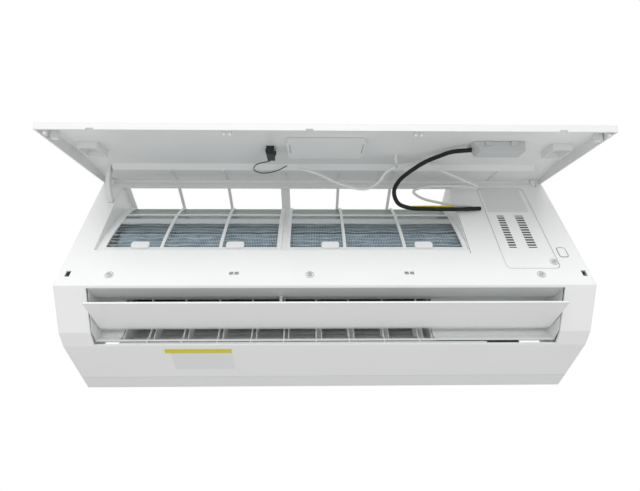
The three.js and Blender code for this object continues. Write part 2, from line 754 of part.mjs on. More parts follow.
function buildFan() {
  const width = fanRight - fanLeft;
  const discs = Array.from({ length: fanDiscs }, (_, i) => {
    const x = fanLeft + ((width - 3) * i) / (fanDiscs - 1);
    return alongX(ring(fanRadius, 18, fanY, fanZ), x, x + 3);
  });
  const blades = Array.from({ length: fanBlades }, (_, i) => {
    const turn = (2 * Math.PI * i) / fanBlades;
    const at = (r, a) => [fanY + r * Math.cos(turn + a), fanZ + r * Math.sin(turn + a)];
    const root = fanRadius - 13;
    const blade = [at(root, 0), at(root, 0.04), at(fanRadius - 1.4, 0.19), at(fanRadius - 1.4, 0.14)];
    return alongX(blade, fanLeft + 1, fanRight - 1);
  });
  const reach = ductLeft - ductWall - 9;
  const shaft = [alongX(ring(fanShaft, 12, fanY, fanZ), reach, fanLeft + 1),
    alongX(ring(fanShaft, 12, fanY, fanZ), fanRight - 1, ductRight + ductWall + 14)];
  return join([...discs, ...blades, ...shaft]);
}

add('fan_wheel', buildFan(), 0x3a3d40, 0.55);

const bearingAt = ductLeft - ductWall - seat;
const bearing = alongX(ring(18, 16, fanY, fanZ), bearingAt - 4, bearingAt)
  .add(alongX(ring(9, 12, fanY, fanZ), bearingAt - 12, bearingAt + 0.1))
  .subtract(alongX(ring(fanShaft + seat, 12, fanY, fanZ), bearingAt - 20, bearingAt + 1));
add('fan_bearing', bearing, 0x55585a, 0.8);

const motorStart = ductRight + ductWall + 4;
const motorEnd = motorStart + motorLength;
const motor = alongX(ring(motorRadius, 24, fanY, fanZ), motorStart + 6, motorEnd)
  .add(alongX(ring(16, 16, fanY, fanZ), motorStart, motorStart + 7))
  .add(box(motorStart + 24, motorStart + 44, fanY - 8, fanY + 8, fanZ + motorRadius - 2,
    fanZ + motorRadius + 7))
  .subtract(alongX(ring(fanShaft + seat, 12, fanY, fanZ), motorStart - 1, motorStart + 12));
add('fan_motor', motor, 0xc4c7c8, 0.5, 0.6);

function buildClamp() {
  const inside = motorRadius + seat;
  const x0 = motorStart + 10;
  const arc = Array.from({ length: 13 }, (_, i) => {
    const turn = (Math.PI * i) / 12;
    return [fanY + inside * Math.cos(turn), fanZ + inside * Math.sin(turn)];
  });
  const line = [[arc[0][0], fanZ - 5.7], ...arc, [arc[12][0], fanZ - 5.7]];
  return alongX(strip(line, -2), x0, x0 + 12);
}

add('motor_clamp', buildClamp(), steel, 0.4, 0.8);

// ------------------------------ electrical box

const boxLeft = coverLeft + coverLedge + 2;
const boxRight = coverRight - coverLedge - 2;
const boxBottom = coverBottom + coverLedge + 1;
const boxTop = coverTop - coverLedge - 1;
const boxFront = deckBack + 2 + seat;
const boxBack = boxFront + 74;
const boxWall = 2;

function buildControlBox() {
  const body = box(boxLeft, boxRight, boxFront, boxBack, boxBottom, boxTop)
    .subtract(box(boxLeft + boxWall, boxRight - boxWall, boxFront - 1, boxBack - boxWall,
      boxBottom + boxWall, boxTop - boxWall))
    .subtract(alongY(ring(7, 12, coverScrewX, coverScrewZ), boxFront - 1, boxFront + 14));
  const legs = [boxBottom + 112, boxTop - 6].flatMap((z) => [boxLeft, boxRight - 4]
    .map((x) => box(x, x + 4, boxBack - 1, backWall[0] - seat, z, z + 5)));
  const posts = [boxBottom + 12, boxTop - 14].flatMap((z) => [boxLeft + 9, boxRight - 9]
    .map((x) => alongY(ring(2.5, 8, x, z), boxBack - boxWall - 6, boxBack - 1)));
  return join([body, ...legs, ...posts]);
}

add('control_box', buildControlBox(), 0xd6d8d8, 0.6);

function buildBoard() {
  const back = boxBack - boxWall - 6 - seat;
  const x0 = boxLeft + boxWall + 1;
  const x1 = boxRight - boxWall - 1;
  const face = back - 1.6;
  const sheet = box(x0, x1, face, back, boxBottom + 5, boxTop - 5);
  const fittings = [
    box(x0 + 5, x0 + 23, face - 14, face + 0.5, boxTop - 40, boxTop - 14),
    box(x1 - 22, x1 - 6, face - 16, face + 0.5, boxTop - 60, boxTop - 36),
    alongY(ring(9, 12, x0 + 16, boxTop - 64), face - 28, face + 0.5),
    box(x0 + 8, x1 - 8, face - 9, face + 0.5, boxBottom + 54, boxBottom + 62),
    box(x1 - 20, x1 - 8, face - 12, face + 0.5, boxTop - 28, boxTop - 12),
  ];
  return join([sheet, ...fittings]);
}

add('control_board', buildBoard(), 0x2f6b45, 0.6);

const terminals = 5;

function buildTerminals() {
  const x0 = boxLeft + boxWall + 3;
  const x1 = coverScrewX - 9;
  const z0 = boxBottom + boxWall + seat;
  const y0 = boxFront + 8;
  const pitch = (x1 - x0) / terminals;
  const body = box(x0, x1, y0, y0 + 18, z0, z0 + 22);
  const wells = Array.from({ length: terminals }, (_, i) => {
    const x = x0 + pitch * i;
    return box(x + 1.4, x + pitch - 1.4, y0 - 1, y0 + 8, z0 + 4, z0 + 18);
  });
  return body.subtract(join(wells));
}

add('terminal_block', buildTerminals(), 0x303336, 0.55);

const cover = alongY(rounded(coverLeft, coverRight, coverBottom, coverTop, coverRadius), front,
  front + coverThick)
  .subtract(alongY(ring(1.9, 10, coverScrewX, coverScrewZ), front - 1, front + coverThick + 1));
add('terminal_cover', cover, white, 0.42);
add('cover_screw', screw(coverScrewX, front, coverScrewZ, 3.8, 9.5), steel, 0.35, 0.85);

// ------------------------------ front panel, drawn shut and then swung open

const panelIn = front - panelGap;
const panelFoot = top - panelLength;
const postX = 114;
const postReach = 3.8;
const panelLine = Array.from({ length: 9 }, (_, i) => {
  const t = i / 8;
  return [panelIn - panelEdge - (panelBulge - panelEdge) * Math.sin(Math.PI * t), top - panelLength * t];
});
const skinAt = (z) => crossing(panelLine, z)[0] + panelWall;

function buildPanel() {
  const lipStart = [panelIn, top];
  const outer = alongX([lipStart, ...panelLine, [panelIn, panelFoot]], -half, half);
  const skin = shifted(panelLine, panelWall);
  const open = [[panelIn + 1, top - panelWall], [skin[0][0], top - panelWall], ...skin.slice(1, 8),
    [skin[8][0], panelFoot + panelWall], [panelIn + 1, panelFoot + panelWall]];
  const hollow = alongX(open, panelWall - half, half - panelWall);
  const parts = [outer.subtract(hollow)];
  // stiffening platform along the hinge side, with its ribs
  const ledge = panelIn - flangeRise;
  const ridge = top - flangeLength;
  const sideStop = armX - armWide / 2 - 4;
  parts.push(alongX(strip([[ledge, top - panelWall + 0.5], [ledge, ridge], [skinAt(ridge - 8) - 1,
    ridge - 8]],
    -2), -sideStop, sideStop));
  topBars.concat([splitAt, 300]).forEach((x) => {
    parts.push(box(x - 0.8, x + 0.8, ledge - 1, ledge + 3, ridge, top - 10));
  });
  // pegs for the clip windows, catches and side lugs
  windowsAt.forEach((x) => {
    [-1, 1].forEach((side) => {
      const middle = x + (side * (windowSide + windowBar)) / 2;
      const z = top - windowDrop;
      parts.push(box(middle - 2, middle + 2, skinAt(z) - 1, panelIn + catchReach, z - 1.6, z + 1.6));
    });
  });
  catchesAt.forEach((x) => {
    const z = top - catchDrop;
    const w = catchWide / 2 - 1.2;
    parts.push(box(x - w, x + w, skinAt(z) - 1, panelIn + catchReach, z - 2.5, z + 2.5));
    parts.push(box(x - 5, x + 5, skinAt(z + 24) - 1, panelIn - 0.2, z + 20, z + 28));
  });
  // square locating frames near both side edges
  [-1, 1].forEach((side) => {
    const [x0, x1] = side < 0 ? [20 - half, 51 - half] : [half - 51, half - 20];
    const base = skinAt(top - 130);
    parts.push(box(x0, x1, base - 1, panelIn - 6, top - 149, top - 111)
      .subtract(box(x0 + 2, x1 - 2, base - 2, panelIn, top - 147, top - 113)));
  });
  // post and hook that hold the white lead
  parts.push(box(postX - 2, postX + 2, skinAt(top - 99) - 1, panelIn + postReach, top - 102, top - 96));
  parts.push(box(postX - 2, postX, panelIn + postReach - 2, panelIn + postReach, top - 109.5, top - 99));
  // hooks that turn on the hinge pins
  [-1, 1].forEach((side) => {
    const x = side * hingeX;
    const w = hingeWide / 2 - seat;
    const knuckle = alongX(ring(cornerRadius, 16, hingeY, hingeZ), x - w, x + w)
      .add(box(x - w, x + w, panelIn - 7, hingeY - 2, hingeZ - 3, hingeZ + 2.6));
    parts.push(knuckle.subtract(alongX(ring(pinRadius + seat, 12, hingeY, hingeZ), x - w - 1, x + w + 1)));
  });
  // curved stay arm that runs through the slot of the deck
  [-1].forEach((side) => {
    const arc = (radius, from, to) => Array.from({ length: 13 }, (_, i) => {
      const turn = ((from + ((to - from) * i) / 12) * Math.PI) / 180;
      return [hingeY - radius * Math.sin(turn), hingeZ - radius * Math.cos(turn)];
    });
    const arm = [...arc(armInner, 30, -armBack), ...arc(armOuter, -armBack, 30)];
    const x = side * armX;
    const beyond = alongX([...panelLine.map(([y, z]) => [y + 0.6, z]), [panelIn - 60, panelFoot],
      [panelIn - 60, top]], x - armWide, x + armWide);
    parts.push(alongX(arm, x - armWide / 2, x + armWide / 2).subtract(beyond));
    parts.push(alongX([...arc(armInner - 2, -armBack - 3, -armBack), ...arc(armOuter + 2, -armBack,
      -armBack - 3)],
      x - armWide / 2, x + armWide / 2));
  });
  // reliefs in the free edge for the heads of the deck screws
  const reliefs = deckScrews.map((x) => box(x - 5, x + 5, panelIn - 2.4, panelIn + 2, panelFoot - 1,
    panelFoot + panelWall + 1));
  return join(parts).subtract(join(reliefs));
}

add('front_panel', openPanel(buildPanel()), 0xf3f4f4, 0.4);

// low cover in the middle of the panel
const holderLeft = -62;
const holderRight = 58;
const holderTop = top - 108;
const holderFoot = top - 172;

function buildHolder() {
  const base = Math.max(skinAt(holderTop), skinAt(holderFoot), skinAt((holderTop + holderFoot) / 2));
  const solid = alongY(rounded(holderLeft, holderRight, holderFoot, holderTop, 6), base - 14, panelIn - 6);
  const room = alongX([...panelLine.map(([y, z]) => [y + panelWall + seat, z]), [panelIn - 60, panelFoot],
    [panelIn - 60, top]], holderLeft - 1, holderRight + 1);
  const slots = [holderLeft + 4, holderRight - 5].map((x) => box(x, x + 1.4, panelIn - 8, panelIn,
    holderFoot + 8, holderTop - 24));
  return solid.subtract(room).subtract(join(slots));
}

add('module_holder', openPanel(buildHolder()), 0xeff0f0, 0.45);

// display module beside the filters
const displayLeft = 227;
const displayRight = 302;
const displayTop = top - 132;
const displayFoot = top - 158;

function buildDisplay() {
  const room = alongX([...panelLine.map(([y, z]) => [y + panelWall + seat, z]), [panelIn - 60, panelFoot],
    [panelIn - 60, top]], displayLeft - 12, displayRight + 2);
  const body = alongZ([[displayLeft - 8, panelIn - 20], [displayRight, panelIn - 20], [displayRight,
    panelIn],
    [displayLeft + 6, panelIn]], displayFoot, displayTop);
  const clips = [displayLeft + 14, displayRight - 22].map((x) => box(x, x + 10, panelIn - 15, panelIn - 8,
    displayFoot - 2.5, displayFoot + 0.5));
  return join([body, ...clips]).subtract(room)
    .subtract(alongY(ring(1.2, 8, displayLeft + 14, displayTop - 8), panelIn - 4, panelIn + 1));
}

add('display_module', openPanel(buildDisplay()), 0xe6e7e8, 0.45);

// black plug of the sensor lead, clipped to the panel
const plugX = -89;
const plugZ = top - 121;
const plugBase = Math.max(skinAt(plugZ - 14), skinAt(plugZ + 14)) + seat;
const plug = box(plugX - 6, plugX + 6, plugBase, panelIn - 3, plugZ - 14, plugZ + 14)
  .add(box(plugX - 8, plugX - 5, plugBase + 2, plugBase + 7, plugZ - 8, plugZ - 3))
  .add(box(plugX + 5, plugX + 8, plugBase + 2, plugBase + 7, plugZ + 2, plugZ + 8));
add('sensor_plug', openPanel(plug), 0x141516, 0.5);

// ------------------------------ leads

// Routes of the leads at rest. The sensor loop is given flat on the shut panel, as across and down.
const sensorLoop = [[-91, 106.4], [-99, 101], [-110, 95], [-117.3, 86.4], [-121.7, 63.6], [-109.6, 49.4],
  [-86.5, 59.2], [-65.5, 84.4]];
const blackRoute = [[223.5, -324.6, 77.6], [197, -312, 90], [184, -301, 96], [161.6, -287, 97.9],
  [135.6, -268, 93.3],
  [121.5, -256, 87.3], [112.4, -246, 70.8], [119.4, -232, 59.2], [140.9, -222, 58.1], [176.9, -215, 63.5],
  [222, -209.5, 69.2], [268, -206.4, 74.7]];
const whiteRoute = [[-43, -276, 93.5], [-13.6, -268, 89.8], [14.1, -262, 76.5], [38.5, -258, 68.7],
  [63, -256, 66.1], [83.5, -259, 76.7], [99, -274, 88], [postX - 2, -285.4, 87.5]];
const bandRoute = [[postX + 1.6, -285.4, 87.5], [139.5, -277, 106], [165.8, -273, 112], [201.4, -258, 109],
  [233.9, -244, 107],
  [257.4, -234, 104.7], [263.5, -229, 106], [252, -226, 109], [228, -226, 111], [201.1, -226, 111],
  [170, -225, 108.8], [153.5, -222, 101], [163.6, -217, 92], [198.5, -210, 85.5], [254, -205.6, 81]];
const yellowRoute = [[146, -217.8, 65.2], [176.9, -213.5, 69.4], [222, -208, 75.2]];
const blackLead = 7;
const whiteLead = 4.4;
const sensorLead = 1.6;
const yellowLead = 4.2;

add('black_lead', tube(blackRoute, blackLead / 2, 40, 8), 0x0c0c0d, 0.5);
add('white_lead', tube(whiteRoute, whiteLead / 2, 22, 8), 0xe2e3e3, 0.6);
add('white_band', tube(bandRoute, whiteLead / 2, 48, 8), 0xe2e3e3, 0.6);
const sensorPath = sensorLoop.map(([x, down]) => [x, panelIn - 3, top - down]);
add('sensor_lead', openPanel(tube(sensorPath, sensorLead / 2, 30, 6)), 0x1a1a1b, 0.6);
add('yellow_lead', tube(yellowRoute, yellowLead / 2, 8, 8), 0xd9c51b, 0.5);

// ------------------------------ louvre

const louvreEdge = mouthInset + 1.6;
const louvreHalf = recessEnd - louvreSide;

function buildLouvre() {
  const bend = louvreChord - (slope - louvreEdge);
  const line = [onSlope(louvreEdge), cheek, [cheek[0] + lipDir[0] * bend, cheek[1] + lipDir[1] * bend]];
  const parts = [alongX(strip(line, louvreThick), -louvreHalf, louvreHalf)];
  const along = (louvreY - foot[0]) * slopeDir[0] + (louvreZ - foot[1]) * slopeDir[1];
  const depth = (louvreY - foot[0]) * slopeIn[0] + (louvreZ - foot[1]) * slopeIn[1];
  const ear = [onSlope(along - 13, 1.5), onSlope(along + 13, 1.5), onSlope(along + 4.5, depth),
    onSlope(along + 3, depth + 3.4), onSlope(along - 3, depth + 3.4), onSlope(along - 4.5, depth)];
  const ears = [[-louvreHalf, earThick - louvreHalf], [louvreHalf - earThick, louvreHalf],
    [louvreMid - 2 - seat - earThick, louvreMid - 2 - seat], [louvreMid + 2 + seat,
      louvreMid + 2 + seat + earThick]];
  ears.forEach(([x0, x1]) => parts.push(alongX(ear, x0, x1)));
  const pin = (x0, x1) => parts.push(alongX(ring(louvrePin, 12, louvreY, louvreZ), x0, x1));
  pin(-mouthSide, 0.5 - louvreHalf);
  pin(louvreHalf - 0.5, mouthSide + 8);
  pin(louvreMid - 3, louvreMid + 3);
  return join(parts);
}

add('louvre', swingLouvre(buildLouvre()), 0xeceded, 0.4);

const stepperAt = mouthSide + seat;
const stepper = alongX(ring(13, 20, louvreY + slopeIn[0] * 5, louvreZ + slopeIn[1] * 5), stepperAt,
  stepperAt + 19)
  .subtract(alongX(ring(socket, 12, louvreY, louvreZ), stepperAt - 1, stepperAt + 11));
add('louvre_motor', stepper, 0xc9cccd, 0.45, 0.5);

// ------------------------------ swing vanes and their links

const vaneAt = (i) => guardBars[i] + vaneOffset;
const restOf = (i) => (i < leftVanes ? vaneRestLeft : vaneRestRight);

function buildVane(i) {
  const [tip, tail] = [-5, 20];
  const clearZ = 2.4;
  const blade = [[tip, vaneTop], [tail, vaneTop], [tail, floorAt(vaneY + tail) + clearZ],
    [tip, floorAt(vaneY + tip) + clearZ]];
  const body = alongX(blade, -vaneThick / 2, vaneThick / 2)
    .add(alongZ(ring(1.5, 6), vaneTop - 12, vaneTop + seat + 2))
    .add(alongZ(ring(pegRadius, 6, 0, vaneArm), vaneTop - 1, vaneTop + linkThick + 1.2));
  return body.rotate([0, 0, restOf(i)]).translate([vaneAt(i), vaneY, 0]);
}

guardBars.forEach((_, i) => add(`vane_${i + 1}`, buildVane(i), 0xe9ebeb, 0.5));

function buildLink(first, last) {
  const z0 = vaneTop + 0.6;
  const spots = guardBars.map((_, i) => i).slice(first, last + 1).map((i) => {
    const turn = (restOf(i) * Math.PI) / 180;
    return vaneAt(i) - vaneArm * Math.sin(turn);
  });
  const y = vaneY + vaneArm - 0.5;
  const bar = box(spots[0] - 5, spots[spots.length - 1] + 5, y - linkWide / 2, y + linkWide / 2, z0,
    z0 + linkThick);
  const slots = spots.map((x) => box(x - pegRadius - 0.4, x + pegRadius + 0.4, y - pegRadius - 0.9,
    y + pegRadius + 0.9, z0 - 1, z0 + linkThick + 1));
  return bar.subtract(join(slots));
}

add('link_left', buildLink(0, leftVanes - 1), 0xd9dcdc, 0.5);
add('link_right', buildLink(leftVanes, guardBars.length - 1), 0xd9dcdc, 0.5);

// ------------------------------ filters

const filterSpans = {
  left: [bayLeft + seat, splitAt - splitGap / 2],
  right: [splitAt + splitGap / 2, bayRight - seat],
};

function buildFilterFrame([x0, x1]) {
  const body = alongX(strip(filterLine, -filterFrame), x0, x1);
  const ribs = filterRibs.filter((x) => x > x0 && x < x1);
  const edges = [x0 + filterRim, ...ribs.flatMap((x) => [x - filterRibWidth / 2, x + filterRibWidth / 2]),
    x1 - filterRim];
  const bands = [[bayFloor + 8, bayFloor + 107], [bayFloor + 113, top - 10]];
  const cuts = [];
  for (let i = 0; i < edges.length; i += 2) {
    cuts.push(box(edges[i], edges[i + 1], front - 5, front + 44, ...bands[0]));
    cuts.push(box(edges[i], edges[i + 1], front - 5, filterLine[8][0] - filterRim, bands[1][0],
      bands[1][1]));
  }
  const tabs = tabsAt.filter((x) => x > x0 && x < x1).map((x) => alongY(
    rounded(x - tabWide / 2, x + tabWide / 2, bayFloor + 3, bayFloor + 7 + tabTall, 4), front - 2.5,
      front + 2.2));
  return body.subtract(join(cuts)).add(join(tabs).subtract(box(x0, x1, front + 1.2, front + 5,
    bayFloor + 9, bayFloor + 40)));
}

function buildFilterNet([x0, x1]) {
  const back = shifted(filterLine, -filterFrame - seat).map(([y, z], i) => (i ? [y, z] : [y, z + 3]));
  const edge = filterRim - 1;
  return alongX(strip(back, -filterNet), x0 + edge, x1 - edge);
}

Object.entries(filterSpans).forEach(([side, span]) => {
  add(`filter_frame_${side}`, buildFilterFrame(span), 0xeef0f0, 0.5);
  add(`filter_net_${side}`, buildFilterNet(span), 0xb9c6cc, 0.7);
});

// ------------------------------ manual button

function buildButton() {
  const cap = alongY(rounded(buttonX - buttonWide / 2, buttonX + buttonWide / 2, buttonZ - buttonTall / 2,
    buttonZ + buttonTall / 2, 2.7), front - buttonProud, deckBack + 1);
  const flange = box(buttonX - buttonWide / 2 - 1.5, buttonX + buttonWide / 2 + 1.5, deckBack + seat,
    deckBack + seat + buttonFlange, buttonZ - buttonTall / 2 - 1.5, buttonZ + buttonTall / 2 + 1.5);
  const stem = alongY(ring(2.5, 10, buttonX, buttonZ), deckBack + 1, deckBack + 9);
  return join([cap, flange, stem]);
}

add('manual_button', buildButton(), 0xf4f5f5, 0.4);

const switchBack = deckBack + 9 + buttonTravel + seat;
const pushSwitch = box(buttonX - 7, buttonX + 7, switchBack, switchBack + 6, buttonZ - 6, buttonZ + 6)
  .add(box(boxRight + seat, buttonX, switchBack + 4, switchBack + 7, buttonZ - 9, buttonZ + 9));
add('push_switch', pushSwitch, 0x3b3f42, 0.6);

export default unit;
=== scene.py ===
"""Indoor unit of a mini split air conditioner, seen from below with its front panel swung open."""

import bpy
import numpy as np
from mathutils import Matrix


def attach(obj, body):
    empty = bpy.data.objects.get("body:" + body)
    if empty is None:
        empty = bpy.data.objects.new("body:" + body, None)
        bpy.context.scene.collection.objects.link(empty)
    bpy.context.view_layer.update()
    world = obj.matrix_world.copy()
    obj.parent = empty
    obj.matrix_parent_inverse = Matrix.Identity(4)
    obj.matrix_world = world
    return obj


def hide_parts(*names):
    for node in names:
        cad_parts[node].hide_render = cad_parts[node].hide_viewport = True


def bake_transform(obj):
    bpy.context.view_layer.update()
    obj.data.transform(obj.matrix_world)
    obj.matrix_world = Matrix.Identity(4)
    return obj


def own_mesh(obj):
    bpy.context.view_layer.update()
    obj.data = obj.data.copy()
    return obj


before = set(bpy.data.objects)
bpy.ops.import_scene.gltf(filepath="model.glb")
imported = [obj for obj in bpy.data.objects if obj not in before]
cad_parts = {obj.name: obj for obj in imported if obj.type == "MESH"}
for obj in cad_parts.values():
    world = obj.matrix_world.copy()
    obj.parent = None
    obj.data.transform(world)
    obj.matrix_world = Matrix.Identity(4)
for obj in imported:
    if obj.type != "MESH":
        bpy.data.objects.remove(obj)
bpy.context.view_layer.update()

# ------------------------------------------------------------------ camera, light and floor
# The camera stands below and in front of the unit and looks up at it, as a phone held at chest
# height does. The light is one wide soft window in front of the unit, in a pale even room.
scene = bpy.context.scene
scene.view_settings.view_transform = "Standard"

frame_wide_px = 640
focal_px = 460
view = bpy.data.cameras.new("camera")
view.sensor_width = 36
view.lens = view.sensor_width * focal_px / frame_wide_px
view.clip_start = 0.01
camera = bpy.data.objects.new("camera", view)
camera.location = (-0.0259, -0.733, -0.5187)
camera.rotation_euler = np.radians((133.774, 0.816, -0.852))
scene.collection.objects.link(camera)
scene.camera = camera


def linear(code):
    """The linear value of an sRGB hex colour: c / 12.92 below 0.04045, else ((c + 0.055) / 1.055) ** 2.4."""
    parts = np.array([int(code[i:i + 2], 16) / 255 for i in (1, 3, 5)])
    return (*np.where(parts <= 0.04045, parts / 12.92, ((parts + 0.055) / 1.055) ** 2.4), 1.0)


def node(tree, kind, inputs=None, **settings):
    """Adds one shader node. inputs gives each socket a value, or another node's output to link to it."""
    made = tree.nodes.new("ShaderNode" + kind)
    for key, value in settings.items():
        setattr(made, key, value)
    for key, value in (inputs or {}).items():
        if isinstance(value, bpy.types.NodeSocket):
            tree.links.new(value, made.inputs[key])
        else:
            made.inputs[key].default_value = value
    return made


room = bpy.data.worlds.new("room")
room.use_nodes = True
room.node_tree.nodes.clear()
paths = node(room.node_tree, "LightPath")
straight = node(room.node_tree, "Math",
                {0: paths.outputs["Is Camera Ray"], 1: paths.outputs["Is Glossy Ray"]}, operation="MAXIMUM")
seen = node(room.node_tree, "Math", {0: straight.outputs[0], 1: paths.outputs["Is Transmission Ray"]},
            operation="MAXIMUM")
even = node(room.node_tree, "Background", {"Color": (1, 1, 1, 1), "Strength": 0.6})
white = node(room.node_tree, "Background", {"Color": (1, 1, 1, 1), "Strength": 1.0})
both = node(room.node_tree, "MixShader", {0: seen.outputs[0], 1: even.outputs[0], 2: white.outputs[0]})
node(room.node_tree, "OutputWorld", {"Surface": both.outputs[0]})
scene.world = room


def lamp(name, place, turn, size, power):
    """A wide soft lamp; turn is its rotation in degrees, size its sides in metres."""
    light = bpy.data.lights.new(name, "AREA")
    light.shape = "RECTANGLE"
    light.size, light.size_y = size
    light.energy = power
    made = bpy.data.objects.new(name, light)
    made.location = place
    made.rotation_euler = np.radians(turn)
    scene.collection.objects.link(made)


lamp("window_light", place=(-0.3, -2.6, 0.3), turn=(83, 0, -6), size=(3.2, 1.8), power=33)


def piece(name, points, faces, material, smooth=True):
    """A mesh object at the origin from arrays of points in metres and of faces."""
    mesh = bpy.data.meshes.new(name)
    mesh.from_pydata(np.asarray(points, float).tolist(), [], [list(map(int, f)) for f in faces])
    mesh.polygons.foreach_set("use_smooth", [smooth] * len(mesh.polygons))
    mesh.materials.append(material)
    mesh.update()
    made = bpy.data.objects.new(name, mesh)
    scene.collection.objects.link(made)
    return made


def blank_material(name):
    """A material with an empty tree, its surface shader and its output joined."""
    made = bpy.data.materials.new(name)
    made.use_nodes = True
    tree = made.node_tree
    tree.nodes.clear()
    shader = node(tree, "BsdfPrincipled")
    node(tree, "OutputMaterial", {"Surface": shader.outputs[0]})
    return made, tree, shader


# Floor of the room, well below the unit: one plain pale painted square.
floor_paint, tree, shader = blank_material("pale_floor_paint")
shader.inputs["Base Color"].default_value = linear("#f4f4f3")
shader.inputs["Roughness"].default_value = 0.8
floor_half = 6
floor_level = -1.25
floor_corners = [(-floor_half, -floor_half, floor_level), (floor_half, -floor_half, floor_level),
                 (floor_half, floor_half, floor_level), (-floor_half, floor_half, floor_level)]
floor = piece("floor", floor_corners, [(0, 1, 2, 3)], floor_paint)

# ------------------------------------------------------------------ casing: front frame, button, cover
# The front frame is one large moulding of glossy white ABS, snapped and screwed to the rear base.
# The electrical cover and the manual button are mouldings of the same plastic, set in its deck.


def moulded(name, colour, rough, grain, depth, edge=0.0):
    """Injection-moulded plastic. grain is the spacing of its fine spark-eroded texture in metres, depth
    the height of its bump, and edge the radius of its moulded corners. tone is how far the colour drifts."""
    tone = 0.02
    made, tree, shader = blank_material(name)
    place = node(tree, "TexCoord").outputs["Object"]
    fine = node(tree, "TexNoise", {"Vector": place, "Scale": 1 / grain, "Detail": 2.0, "Roughness": 0.6})
    wide = node(tree, "TexNoise", {"Vector": place, "Scale": 9.0, "Detail": 3.0, "Roughness": 0.5})
    drift = node(tree, "MapRange", {"Value": wide.outputs["Fac"], "From Min": 0.3, "From Max": 0.7,
                                    "To Min": 1.0 - tone, "To Max": 1.0})
    shade = node(tree, "Mix", data_type="RGBA", blend_type="MULTIPLY")
    shade.inputs[0].default_value = 1.0
    shade.inputs[6].default_value = linear(colour)
    tree.links.new(drift.outputs[0], shade.inputs[7])
    gloss = node(tree, "MapRange", {"Value": wide.outputs["Fac"], "From Min": 0.3, "From Max": 0.7,
                                    "To Min": rough - 0.04, "To Max": rough + 0.04})
    bump = node(tree, "Bump", {"Height": fine.outputs["Fac"], "Strength": 0.35, "Distance": depth})
    if edge:
        corner = node(tree, "Bevel", {"Radius": edge}, samples=4)
        tree.links.new(corner.outputs[0], bump.inputs["Normal"])
    tree.links.new(shade.outputs[2], shader.inputs["Base Color"])
    tree.links.new(gloss.outputs[0], shader.inputs["Roughness"])
    tree.links.new(bump.outputs[0], shader.inputs["Normal"])
    shader.inputs["IOR"].default_value = 1.54
    return made


def dress(material, *names):
    """Gives the named pieces of the frame this material in every slot."""
    for name in names:
        piece_here = bpy.data.objects[name]
        for index in range(len(piece_here.material_slots)):
            piece_here.material_slots[index].link = "OBJECT"
            piece_here.material_slots[index].material = material


# ABS from a polished tool: bright white with soft reflections and rounded outer corners.
casing_abs = moulded("casing_white_abs", "#f7f8f8", rough=0.34, grain=0.0011, depth=0.00004, edge=0.0012)
dress(casing_abs, "front_frame", "manual_button", "terminal_cover", "louvre")

# ------------------------------------------------------------------ front panel
# The hinged panel is a curved ABS moulding, glossy outside and spark-eroded inside, with ribs, pegs and
# a module holder on its inner side.
panel_abs = moulded("panel_white_abs", "#f1f2f2", rough=0.42, grain=0.0013, depth=0.00006, edge=0.0012)
holder_abs = moulded("holder_grey_abs", "#eceded", rough=0.45, grain=0.0012, depth=0.00005, edge=0.0008)
dress(panel_abs, "front_panel")
dress(holder_abs, "module_holder")
module_abs = moulded("module_grey_abs", "#cfd1d2", rough=0.45, grain=0.0012, depth=0.00005, edge=0.0006)
dress(module_abs, "display_module")
plug_nylon = moulded("plug_black_nylon", "#17181a", rough=0.4, grain=0.0008, depth=0.00004, edge=0.0004)
dress(plug_nylon, "sensor_plug", "push_switch", "terminal_block")

# ------------------------------------------------------------------ rear base, outlet frame, tray, vanes
# Matte ABS mouldings behind the casing: the fan scroll, the duct with its guard bars, the drain tray, and
# nine swing vanes on two push links.
base_abs = moulded("base_matte_abs", "#eff1f1", rough=0.55, grain=0.0014, depth=0.00008)
duct_abs = moulded("duct_matte_abs", "#e9ebeb", rough=0.5, grain=0.0013, depth=0.00006)
dress(base_abs, "rear_base", "motor_clamp", "control_box", "drain_tray")
dress(duct_abs, "outlet_frame", "link_left", "link_right", *[f"vane_{i}" for i in range(1, 10)])

# ------------------------------------------------------------------ fan, bearing and motors
# A crossflow wheel of dark glass-filled polystyrene on a rubber bearing, and two drawn steel motors.
fan_plastic = moulded("fan_dark_plastic", "#4a4d50", rough=0.5, grain=0.0012, depth=0.00006)
rubber = moulded("bearing_rubber", "#1b1b1c", rough=0.7, grain=0.001, depth=0.00008)
dress(fan_plastic, "fan_wheel")
dress(rubber, "fan_bearing")


def metal(name, colour, rough, stretch, grain):
    """Bare metal with fine lines: grain is their spacing in metres, stretch the scale along X, Y and Z."""
    made, tree, shader = blank_material(name)
    place = node(tree, "TexCoord").outputs["Object"]
    turned = node(tree, "Mapping", {"Vector": place, "Scale": stretch})
    lines = node(tree, "TexNoise", {"Vector": turned.outputs[0], "Scale": 1 / grain, "Detail": 3.0})
    gloss = node(tree, "MapRange", {"Value": lines.outputs["Fac"], "To Min": rough - 0.08,
                                    "To Max": rough + 0.1})
    bump = node(tree, "Bump", {"Height": lines.outputs["Fac"], "Strength": 0.2, "Distance": 0.00003})
    shader.inputs["Base Color"].default_value = linear(colour)
    shader.inputs["Metallic"].default_value = 1.0
    tree.links.new(gloss.outputs[0], shader.inputs["Roughness"])
    tree.links.new(bump.outputs[0], shader.inputs["Normal"])
    return made


